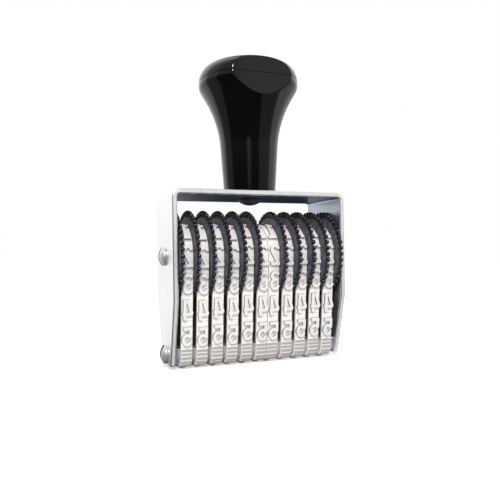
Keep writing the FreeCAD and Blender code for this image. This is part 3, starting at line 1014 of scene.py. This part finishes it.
# %% [markdown]
# The numerals are drawn as a die cutter would cut them: strokes of one width along lines and
# bows, in a box 2.5 by 4.9 mm. A stroke becomes a row of four-cornered pieces with mitred
# ends. Strokes of one numeral overlap, so a triangulation that knows which piece covers
# each triangle makes them one flat shape. Only what is covered is kept, and the holes stay
# open.

# %% Strokes of the numerals
STROKE, TYPE_WIDTH, TYPE_HEIGHT = 0.72, 2.5, 4.9
SIX = [bow(1.25, 1.53, 0.89, 1.17, 0, 360, 22)[:-1] + ["closed"]]
SIX.append([(0.36, 1.5), (0.39, 2.45), (0.58, 3.3), (0.95, 4.0), (1.5, 4.44), (2.1, 4.5)])
NUMERALS = {
    "0": [bow(1.25, 2.45, 0.89, 2.09, 0, 360, 26)[:-1] + ["closed"]],
    "1": [[(0.35, 3.85), (1.3, 4.62)], [(1.4, 4.9), (1.4, 0.2)], [(0.25, 0.33), (2.45, 0.33)]],
    "2": [bow(1.25, 3.62, 0.89, 0.92, 168, -32) + [(0.34, 0.4)], [(0.05, 0.36), (2.45, 0.36)]],
    "3": [
        bow(1.2, 3.72, 0.86, 0.82, 165, -80),
        bow(1.22, 1.53, 0.92, 1.17, 85, -165),
        [(0.75, 2.76), (1.5, 2.76)],
    ],
    "4": [[(1.25, 4.85), (0.2, 1.5)], [(1.95, 4.9), (1.95, 0)], [(0.02, 1.44), (2.5, 1.44)]],
    "5": [
        [(2.25, 4.28), (0.42, 4.28), (0.42, 2.1)],
        bow(1.3, 1.53, 0.92, 1.17, 150, -155),
    ],
    "6": SIX,
    "7": [[(0.02, 4.5), (2.48, 4.5)], [(2.1, 4.4), (0.95, 0.05)]],
    "8": [
        bow(1.25, 3.74, 0.78, 0.80, 0, 360, 20)[:-1] + ["closed"],
        bow(1.25, 1.5, 0.89, 1.14, 0, 360, 22)[:-1] + ["closed"],
    ],
    "9": [
        [p if p == "closed" else (TYPE_WIDTH - p[0], TYPE_HEIGHT - p[1]) for p in stroke]
        for stroke in SIX
    ],
    "-": [[(0.3, 2.45), (2.2, 2.45)]],
    "/": [[(0.42, 0.2), (2.08, 4.7)]],
}


def thick(stroke):
    """A stroke as four-cornered pieces, each sharing its mitred ends with its neighbours."""
    closed = stroke[-1] == "closed"
    points = [Vector(item) for item in stroke if item != "closed"]
    ends = []
    for index, point in enumerate(points):
        before = points[index - 1] if closed or index else point
        after = points[(index + 1) % len(points)] if closed or index < len(points) - 1 else point
        runs = [(b - a).normalized() for a, b in ((before, point), (point, after)) if a != b]
        across = sum((Vector((-run.y, run.x)) for run in runs), Vector((0, 0))).normalized()
        reach = STROKE / 2 / max(0.5, across.dot(Vector((-runs[0].y, runs[0].x))))
        ends.append((point + across * reach, point - across * reach))
    pairs = list(zip(ends, ends[1:])) + ([(ends[-1], ends[0])] if closed else [])
    return [(a[1], b[1], b[0], a[0]) for a, b in pairs]


def flat_type(character):
    """One mirrored character as a flat mesh in millimetres, its middle at the origin."""
    pieces = [piece for stroke in NUMERALS[character] for piece in thick(stroke)]
    half_width, half_height = TYPE_WIDTH / 2, TYPE_HEIGHT / 2
    corners = [Vector((half_width - c.x, c.y - half_height)) for piece in pieces for c in piece]
    loops = [[4 * index + turn for turn in (3, 2, 1, 0)] for index in range(len(pieces))]
    spots, _, triangles, _, _, covered_by = delaunay_2d_cdt(corners, [], loops, 1, 1e-4)
    work = bmesh.new()
    verts = [work.verts.new((*spot, 0)) for spot in spots]
    for triangle, owners in zip(triangles, covered_by):
        if owners:
            work.faces.new([verts[index] for index in triangle])
    bmesh.ops.delete(work, geom=[v for v in work.verts if not v.link_faces], context="VERTS")
    return work


print("numerals", "".join(NUMERALS))

# %% [markdown]
# Each character gets a small shoulder and nearly upright flanks, a little wider at the foot,
# because a mould must let go of it. Long edges are cut across every half millimetre, so that
# a character can follow the drum. Below each one the mould has left a fine line across the
# strip.

# %% Raised type
STRIP, THICK, RELIEF = 2.85, 0.9, 0.7
DRAFT, SHOULDER, SHOULDER_DROP, SUNK = 0.09, 0.03, 0.04, 0.04
CUT_EVERY = 0.5


def raised_type(character, along):
    """Top face and sloping flanks of a character, set at a length along the strip."""
    work = flat_type(character)
    cuts = int(TYPE_HEIGHT / CUT_EVERY)
    for count in range(1, cuts):
        level = -TYPE_HEIGHT / 2 + TYPE_HEIGHT * count / cuts
        cut(work, (0, level, 0), (0, 1, 0), 1e-5, drop=False)
    bmesh.ops.recalc_face_normals(work, faces=work.faces)
    if work.faces[:][0].normal.z < 0:
        bmesh.ops.reverse_faces(work, faces=work.faces)
    work.normal_update()
    top = THICK / 2 + RELIEF
    rims = [edge for edge in work.edges if edge.is_boundary]
    outward = {}
    for edge in rims:
        loop = edge.link_loops[0]
        run = (loop.link_loop_next.vert.co - loop.vert.co).normalized()
        for vert in edge.verts:
            outward.setdefault(vert, []).append(Vector((run.y, -run.x, 0)))
    feet, shoulders = {}, {}
    for vert, normals in outward.items():
        mean = sum(normals, Vector()).normalized()
        reach = 1 / max(0.5, mean.dot(normals[0]))
        feet[vert] = work.verts.new(vert.co + mean * DRAFT * reach)
        shoulders[vert] = work.verts.new(vert.co + mean * SHOULDER * reach)
    for edge in rims:
        loop = edge.link_loops[0]
        first, second = loop.vert, loop.link_loop_next.vert
        work.faces.new((second, first, shoulders[first], shoulders[second]))
        work.faces.new((shoulders[second], shoulders[first], feet[first], feet[second]))
    for vert in work.verts:
        vert.co.z = top
        vert.co.y += along
    for vert in shoulders.values():
        vert.co.z = top - SHOULDER_DROP
    for vert in feet.values():
        vert.co.z = THICK / 2 - SUNK
    return work


LINE_WIDTH, LINE_HEIGHT, LINE_SUNK, LINE_END, LINE_GAP = 0.13, 0.07, 0.03, 0.08, 0.3


def mould_line(along):
    """A fine raised line across the strip."""
    work = bmesh.new()
    side_by_side = (-LINE_WIDTH, -LINE_WIDTH / 3, LINE_WIDTH / 3, LINE_WIDTH)
    profile = list(zip(side_by_side, (-LINE_SUNK, LINE_HEIGHT, LINE_HEIGHT, -LINE_SUNK)))
    ends = [
        [work.verts.new((x, along + y, THICK / 2 + z)) for y, z in profile]
        for x in (LINE_END - STRIP / 2, STRIP / 2 - LINE_END)
    ]
    skin(work, *ends, closed=False)
    bmesh.ops.recalc_face_normals(work, faces=work.faces)
    if work.faces[:][1].normal.z < 0:
        bmesh.ops.reverse_faces(work, faces=work.faces)
    return work


STRIP_STEPS, STRIP_ROUNDING = 180, 0.16


def strip_blank():
    """The flat strip, its edges rounded, from one end of the loop to the other."""
    half, edge, radius = STRIP / 2, THICK / 2, STRIP_ROUNDING
    right = [(0, -edge, 0), (half, -edge, radius), (half, edge, radius)]
    left = [(-half, edge, radius), (-half, -edge, radius), (0, -edge, 0)]
    section = rounded(right + left, steps=3)[:-1]
    work = bmesh.new()
    rings = []
    for step in range(STRIP_STEPS + 1):
        along = LOOP * step / STRIP_STEPS
        rings.append([work.verts.new((x, along, z)) for x, z in section])
    for first, second in zip(rings, rings[1:]):
        skin(work, first, second)
    return smoothed(work)


SPACING, BLANK = 6.4, 5.5
row = {0.0: "6", LOOP: "6"}
for step, character in enumerate("54321"):
    row[SPACING + BLANK + SPACING * step] = character
for step, character in enumerate("7890-/"):
    row[LOOP - SPACING * (step + 1)] = character
print("characters", row)

# %% [markdown]
# The tree sets the ribs, joins them to the strip, bends everything round the way and closes
# the loop. Bending needs one idea: a place's Y picks a point on the way, and the way's
# direction there, crossed with X, points out of the band, where Z goes. Two sizes differ
# from band to band: its place across the stamp, and how far it has crept along its way,
# because no eleven bands ever stand quite level.

# %% Band tree
bands, given = new_tree(
    "band_round_its_way",
    {
        "Way": "Object",
        "Loop": "Float",
        "Across": "Float",
        "Crept": "Float",
        "Rib": "Object",
        "Rib count": "Int",
        "First rib": "Vector",
        "Rib pitch": "Vector",
        "Surface": "Float",
        "Crest": "Float",
    },
)
rib_line = {
    "Count": given["Rib count"],
    "Start Location": given["First rib"],
    "Offset": given["Rib pitch"],
}
rib_spots = node(bands, "GeometryNodeMeshLine", rib_line, mode="OFFSET").outputs[0]
rib_shape = node(bands, "GeometryNodeObjectInfo", {"Object": given["Rib"]}).outputs["Geometry"]
ribs = node(
    bands, "GeometryNodeInstanceOnPoints", {"Points": rib_spots, "Instance": rib_shape}
).outputs[0]
ribs = node(bands, "GeometryNodeRealizeInstances", {"Geometry": ribs}).outputs[0]
flat_band = join(bands, given["Geometry"], ribs)
place = node(
    bands, "ShaderNodeSeparateXYZ", {0: node(bands, "GeometryNodeInputPosition").outputs[0]}
).outputs
crept = number(bands, "ADD", place["Y"], given["Crept"])
factor = number(bands, "FRACT", number(bands, "DIVIDE", crept, given["Loop"]))
way_shape = node(bands, "GeometryNodeObjectInfo", {"Object": given["Way"]}).outputs["Geometry"]
sample = node(
    bands, "GeometryNodeSampleCurve", {"Curves": way_shape, "Factor": factor}, mode="FACTOR"
).outputs
outward = vector(bands, "CROSS_PRODUCT", (1.0, 0.0, 0.0), sample["Tangent"])
lifted = vector(bands, "SCALE", outward, place["Z"])
bent = vector(bands, "ADD", sample["Position"], lifted)
sideways = node(
    bands, "ShaderNodeCombineXYZ", {"X": number(bands, "ADD", place["X"], given["Across"])}
).outputs[0]
relief_share = node(
    bands,
    "ShaderNodeMapRange",
    {"Value": place["Z"], "From Min": given["Surface"], "From Max": given["Crest"]},
).outputs["Result"]
noted = note(bands, flat_band, "raised", relief_share)
moved = node(
    bands,
    "GeometryNodeSetPosition",
    {"Geometry": noted, "Position": vector(bands, "ADD", bent, sideways)},
).outputs[0]
closed = node(
    bands, "GeometryNodeMergeByDistance", {"Geometry": moved, "Distance": 0.004 * MM}
).outputs[0]
close_tree(bands, closed, moulded_rubber)

# %% The flat band and its rib
RIB_COUNT = 6
RIB, RIB_GAP, RIB_PITCH = 0.18, 0.34, BLANK / RIB_COUNT
RIB_FLARE, RIB_ROUNDING, RIB_END = 0.05, 0.08, 0.06
rib_work = bmesh.new()
half = (RIB_PITCH - RIB_GAP) / 2
foot = half + RIB_FLARE
profile = rounded(
    [
        (-foot, -RIB_FLARE, 0),
        (-half, RIB, RIB_ROUNDING),
        (half, RIB, RIB_ROUNDING),
        (foot, -RIB_FLARE, 0),
    ],
    steps=3,
)
ends = [
    [rib_work.verts.new(Vector((x, y, z + THICK / 2)) * MM) for y, z in profile]
    for x in (RIB_END - STRIP / 2, STRIP / 2 - RIB_END)
]
skin(rib_work, *ends)
for end in ends:
    rib_work.faces.new(end)
bmesh.ops.recalc_face_normals(rib_work, faces=rib_work.faces)
rib_mesh = bpy.data.meshes.new("rib")
rib_work.to_mesh(rib_mesh)
rib_work.free()
rib = bpy.data.objects.new("rib", rib_mesh)

flat = strip_blank()
for along, character in row.items():
    if along < LOOP:
        add_to(flat, raised_type(character, along))
        add_to(flat, mould_line(along - TYPE_HEIGHT / 2 - LINE_GAP))
bmesh.ops.scale(flat, verts=flat.verts, vec=(MM, MM, MM))
flat_mesh = bpy.data.meshes.new("flat_band")
flat.to_mesh(flat_mesh)
flat.free()
print("faces in one flat band", len(flat_mesh.polygons))

# %% Eleven bands
CREPT = (-0.48, -0.73, -0.35, -0.74, -0.08, -0.45, -0.45, -0.50, -0.27, -0.15, -0.38)
for count, crept in enumerate(CREPT, start=1):
    left = FIRST + (count - 1) * PITCH
    center = left + (DISC if count <= DISCS_ON_LEFT else 0) + DRUM / 2
    work = bmesh.new()
    work.from_mesh(flat_mesh)
    name = f"band_{count:02d}"
    band = grow(
        f"rubber_{name}",
        work,
        bands,
        {
            "Way": band_way,
            "Loop": LOOP * MM,
            "Across": center * MM,
            "Crept": crept * MM,
            "Rib": rib,
            "Rib count": RIB_COUNT,
            "First rib": Vector((0, SPACING / 2 + RIB_PITCH / 2, 0)) * MM,
            "Rib pitch": Vector((0, RIB_PITCH, 0)) * MM,
            "Surface": THICK / 2 * MM,
            "Crest": (THICK / 2 + RELIEF) * MM,
        },
    )
    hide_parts(name)
    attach(band, "stamp")
print("faces in one band", len(band.data.polygons))

# %% [markdown]
# ## Screws
# Two screws hold the axle, two hold the platen bar and one comes up through the top plate
# into the handle; that one is blued, not plated. All have a domed head with one slot. The
# tree cuts the slot and sets a head on each seat; a seat is a point that knows which way its
# screw faces.

# %% Screw tree
screws, given = new_tree(
    "slotted_heads_on_seats",
    {"Head": "Object", "Slot size": "Vector", "Slot middle": "Vector"},
)
head_shape = node(screws, "GeometryNodeObjectInfo", {"Object": given["Head"]}).outputs["Geometry"]
cutter = node(screws, "GeometryNodeMeshCube", {"Size": given["Slot size"]}).outputs[0]
cutter = node(
    screws, "GeometryNodeTransform", {"Geometry": cutter, "Translation": given["Slot middle"]}
).outputs[0]
# the slot's faces are marked for the painted shade in the screw's material
cutter = note(screws, cutter, "in_slot", 1.0, "FACE")
slotted = node(
    screws,
    "GeometryNodeMeshBoolean",
    {"Mesh 1": head_shape, "Mesh 2": cutter},
    operation="DIFFERENCE",
).outputs[0]
facing, slot_turn = (
    node(screws, "GeometryNodeInputNamedAttribute", {"Name": name}, data_type=kind).outputs[0]
    for name, kind in (("facing", "FLOAT_VECTOR"), ("slot_turn", "FLOAT"))
)
stand = node(
    screws, "FunctionNodeAlignRotationToVector", {"Vector": facing}, axis="Z"
).outputs[0]
spin = node(
    screws, "FunctionNodeAxisAngleToRotation", {"Axis": (0, 0, 1), "Angle": slot_turn}
).outputs[0]
pose = node(
    screws,
    "FunctionNodeRotateRotation",
    {"Rotation": stand, "Rotate By": spin},
    rotation_space="LOCAL",
).outputs[0]
heads = node(
    screws,
    "GeometryNodeInstanceOnPoints",
    {"Points": given["Geometry"], "Instance": slotted, "Rotation": pose},
).outputs[0]
close_tree(screws, heads, screw_steel)


# radius, height and (width, depth) of the slot
PLATE_SCREW = (2.35, 1.45, (0.85, 0.95))
HANDLE_SCREW = (3.0, 1.7, (0.8, 0.9))
WALL_SHARE, FOOT_BREAK, HEAD_SEGMENTS = 0.4, 0.1, 48


def screw_heads(name, replaced, size, seats):
    """Heads on their seats: each seat is a place, the way it faces and its slot's turn."""
    radius, height, (width, depth) = size
    wall = height * WALL_SHARE
    dome_height = height - wall
    dome = (radius**2 + dome_height**2) / (2 * dome_height)
    edge = math.degrees(math.acos(radius / dome)) if dome > radius else 0
    outline = [(0, 0), (radius - FOOT_BREAK, 0), (radius, FOOT_BREAK)]
    outline += arc((0, height - dome), dome, edge, 90, 9)[:-1] + [(0, height)]
    blank = finish_mesh(name + "_blank", turned(outline, HEAD_SEGMENTS))
    work = bmesh.new()
    facing = work.verts.layers.float_vector.new("facing")
    slot_turn = work.verts.layers.float.new("slot_turn")
    for place, way_out, angle in seats:
        seat = work.verts.new(Vector(place) * MM)
        seat[facing] = way_out
        seat[slot_turn] = math.radians(angle)
    made = grow(
        name,
        work,
        screws,
        {
            "Head": blank,
            "Slot size": Vector((radius * 3, width, depth * 2)) * MM,
            "Slot middle": Vector((0, 0, height)) * MM,
        },
    )
    bpy.data.objects.remove(blank)
    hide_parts(replaced)
    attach(made, "stamp")
    return made


pairs = (("axle_screws", AXLE, (0, 70)), ("platen_screws", PLATEN, (165, 110)))
for name, height, angles in pairs:
    seats = [
        ((side * HALF_WIDTH, 0, height), (side, 0, 0), angle)
        for side, angle in zip((-1, 1), angles)
    ]
    made = screw_heads("slotted_" + name, name, PLATE_SCREW, seats)
    print(name, "faces", len(made.data.polygons))
seats = [((0, 0, FRAME_TOP - WALL), (0, 0, -1), 35)]
made = screw_heads("slotted_handle_screw", "handle_screw", HANDLE_SCREW, seats)
made.data.materials.clear()
made.data.materials.append(blued_steel_and_comb_shade)
print("handle_screw faces", len(made.data.polygons))

# %% [markdown]
# ## Platen bar and comb
# The bar backs the bands where they print, and its lower edges are rounded where they run
# round it. A thin comb of dark steel stands on it inside the bands as painted shade: its teeth
# reach up between the thumb discs, so that no light shows through between the bands and the
# gaps show dark. Both are outlines pushed along, the bar's along X and the comb's through its
# own thickness.

# %% Platen and comb
def pushed(outline, place, start, end):
    """A closed outline pushed from start to end; place turns (a, b, depth) into a point."""
    work = bmesh.new()
    ends = [
        [work.verts.new(Vector(place(a, b, depth)) * MM) for a, b in outline]
        for depth in (start, end)
    ]
    for face in skin(work, *ends):
        face.smooth = True
    for end in ends:
        work.faces.new(end)
    bmesh.ops.recalc_face_normals(work, faces=work.faces)
    for edge in work.edges:
        edge.smooth = edge.calc_face_angle(0) < math.radians(30)
    return work


low, high = (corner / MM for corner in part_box("platen"))
BAR_TOP, BAR_ROUNDING, WEB, TOOTH, HALF_GAP = 5.25, 0.25, 0.5, 18.4, 0.9
half_bar = high.y
right = [(0, low.z, 0), (half_bar, low.z, SMALL), (half_bar, BAR_TOP, BAR_ROUNDING)]
left = [(-half_bar, BAR_TOP, BAR_ROUNDING), (-half_bar, low.z, SMALL), (0, low.z, 0)]
profile = rounded(right + left, steps=6)[:-1]
bar = pushed(profile, lambda a, b, depth: (depth, a, b), low.x, high.x)
spans, reached = [], low.x
for count in range(WHEELS):
    disc = FIRST + count * PITCH + (DISC / 2 if count < DISCS_ON_LEFT else DRUM + DISC / 2)
    first, last = max(low.x, disc - HALF_GAP), min(high.x, disc + HALF_GAP)
    if first > reached:
        spans.append((reached, first, TOOTH))
    spans.append((first, last, high.z))
    reached = last
teeth = [spot for first, last, level in spans for spot in ((first, level), (last, level))]
foot = BAR_TOP - 0.2
teeth = [(low.x, foot), *teeth, (high.x, foot)]
comb = pushed(teeth, lambda a, b, depth: (a, depth, b), -WEB, WEB)
# painted shade: the comb takes the dark blued steel, so the gaps between the bands show dark
for face in comb.faces:
    face.material_index = 1
add_to(bar, comb)
platen = finish_mesh("platen_bar_and_comb", bar, drawn_bar)
platen.data.materials.append(blued_steel_and_comb_shade)
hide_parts("platen")
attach(platen, "stamp")
print("comb's corners", len(teeth))

# %% [markdown]
# ## Carried-over solids
# The axle and the brass nut have the right shape already, so their own meshes stay and only
# get their materials.

# %% Materials on the solids
for name, material in (("axle", drawn_bar), ("handle_insert", insert_brass)):
    data = nodes[name].data
    data.materials.clear()
    data.materials.append(material)

# %% [markdown]
# ## Picture settings
# Colours are shown as they are written.

# %% Finish
bpy.context.scene.view_settings.view_transform = "Standard"
